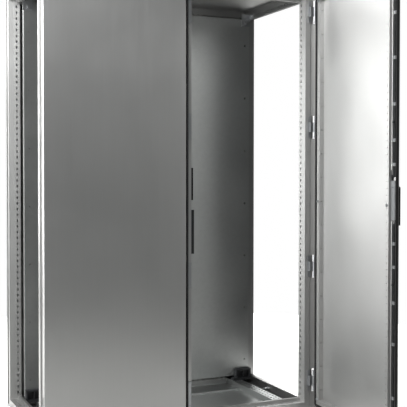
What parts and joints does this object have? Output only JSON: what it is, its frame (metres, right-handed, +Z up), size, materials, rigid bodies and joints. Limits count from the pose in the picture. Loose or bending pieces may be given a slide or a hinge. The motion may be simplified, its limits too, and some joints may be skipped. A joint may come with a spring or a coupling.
{
  "type": "switchboard cabinet",
  "caption": "Free-standing double-door switchboard cabinet in brushed stainless steel, open sides, mounting plate, left door closed and right door open.",
  "frame": {"origin": "centre of the four anchor holes, on the floor", "axes": "+Z up, +X to the viewer's right when facing the doors, +Y from the doors to the back"},
  "size_m": [1.2, 1.2363, 1.809],
  "materials": {
    "stainless_steel": "brushed",
    "galvanised_steel": "satin",
    "zinc_plated_steel": "satin",
    "black_passivated_steel": "satin",
    "black_foam_rubber": "matte",
    "black_plastic": "matte"
  },
  "bodies": {
    "carcass": {"post_front_left": "stainless_steel", "post_front_right": "stainless_steel", "post_rear_left": "stainless_steel", "post_rear_right": "stainless_steel", "rail_bottom_front": "stainless_steel", "rail_bottom_rear": "stainless_steel", "rail_bottom_left": "stainless_steel", "rail_bottom_right": "stainless_steel", "rail_top_front": "stainless_steel", "rail_top_rear": "stainless_steel", "rail_top_left": "stainless_steel", "rail_top_right": "stainless_steel", "corner_blocks_base": "zinc_plated_steel", "corner_blocks_top": "zinc_plated_steel", "roof_panel": "stainless_steel", "roof_gasket": "black_foam_rubber", "roof_bolts": "zinc_plated_steel", "rear_panel": "stainless_steel", "rear_gasket": "black_foam_rubber", "rear_screws": "zinc_plated_steel", "mounting_plate": "galvanised_steel", "plate_feet": "black_plastic", "plate_brackets": "zinc_plated_steel", "plate_bolts": "zinc_plated_steel", "floor_slides": "galvanised_steel", "bottom_plate_front": "galvanised_steel", "bottom_plate_rear": "galvanised_steel", "floor_seals": "black_foam_rubber", "earth_studs": "zinc_plated_steel", "hinge_brackets": "zinc_plated_steel"},
    "right_door": {"right_door_shell": "stainless_steel", "right_door_gasket": "black_foam_rubber", "right_door_frame": "stainless_steel", "right_frame_nuts": "zinc_plated_steel", "edge_trim": "black_foam_rubber", "handle_base": "black_plastic", "lock_case": "zinc_plated_steel", "rod_guides": "zinc_plated_steel", "hinge_leaves_right": "zinc_plated_steel", "hinge_pins_right": "zinc_plated_steel"},
    "left_door": {"left_door_shell": "stainless_steel", "left_door_gasket": "black_foam_rubber", "left_door_frame": "stainless_steel", "left_frame_nuts": "zinc_plated_steel", "centre_gasket": "black_foam_rubber", "keepers": "zinc_plated_steel", "slave_lock_case": "black_passivated_steel", "slave_rod_guides": "zinc_plated_steel", "hinge_leaves_left": "zinc_plated_steel", "hinge_pins_left": "zinc_plated_steel"},
    "handle_hub": {"handle_hub": "zinc_plated_steel", "grip_pin": "zinc_plated_steel"},
    "handle_grip": {"handle_grip": "black_plastic"},
    "key_cylinder": {"key_cylinder": "zinc_plated_steel"},
    "upper_rod": {"upper_rod": "black_passivated_steel"},
    "lower_rod": {"lower_rod": "black_passivated_steel"},
    "slave_lever": {"slave_lever": "black_plastic"},
    "upper_slave_rod": {"upper_slave_rod": "black_passivated_steel"},
    "lower_slave_rod": {"lower_slave_rod": "black_passivated_steel"}
  },
  "joints": [
    {"name": "right_door_hinge", "type": "hinge", "parent": "carcass", "child": "right_door", "pos_m": [0.587, -0.313, 0.9], "axis": [0, 0, 1], "range_deg": [-87, 43]},
    {"name": "left_door_hinge", "type": "hinge", "parent": "carcass", "child": "left_door", "pos_m": [-0.587, -0.313, 0.9], "axis": [0, 0, -1], "range_deg": [0, 130]},
    {"name": "handle_turn", "type": "hinge", "parent": "right_door", "child": "handle_hub", "pos_m": [0.57172, -0.89124, 0.965], "axis": [0.9986, -0.0523, 0], "range_deg": [0, 90]},
    {"name": "grip_swing", "type": "hinge", "parent": "handle_hub", "child": "handle_grip", "pos_m": [0.57821, -0.89158, 0.965], "axis": [-0.0523, -0.9986, 0], "range_deg": [0, 35]},
    {"name": "key_turn", "type": "hinge", "parent": "handle_grip", "child": "key_cylinder", "pos_m": [0.57821, -0.89158, 0.903], "axis": [0.9986, -0.0523, 0], "range_deg": [0, 90]},
    {"name": "upper_rod_slide", "type": "slide", "parent": "right_door", "child": "upper_rod", "axis": [0, 0, 1], "range_m": [0, 0.0118]},
    {"name": "lower_rod_slide", "type": "slide", "parent": "right_door", "child": "lower_rod", "axis": [0, 0, -1], "range_m": [0, 0.0118]},
    {"name": "slave_lever_turn", "type": "hinge", "parent": "left_door", "child": "slave_lever", "pos_m": [-0.003, -0.285, 0.862], "axis": [0, -1, 0], "range_deg": [0, 90]},
    {"name": "upper_slave_slide", "type": "slide", "parent": "left_door", "child": "upper_slave_rod", "axis": [0, 0, -1], "range_m": [0, 0.01025]},
    {"name": "lower_slave_slide", "type": "slide", "parent": "left_door", "child": "lower_slave_rod", "axis": [0, 0, 1], "range_m": [0, 0.01025]}
  ],
  "couplings": [
    {"joint": "upper_rod_slide", "follows": "handle_turn", "m_per_rad": 0.0075},
    {"joint": "lower_rod_slide", "follows": "handle_turn", "m_per_rad": 0.0075},
    {"joint": "upper_slave_slide", "follows": "slave_lever_turn", "m_per_rad": 0.0065},
    {"joint": "lower_slave_slide", "follows": "slave_lever_turn", "m_per_rad": 0.0065}
  ]
}
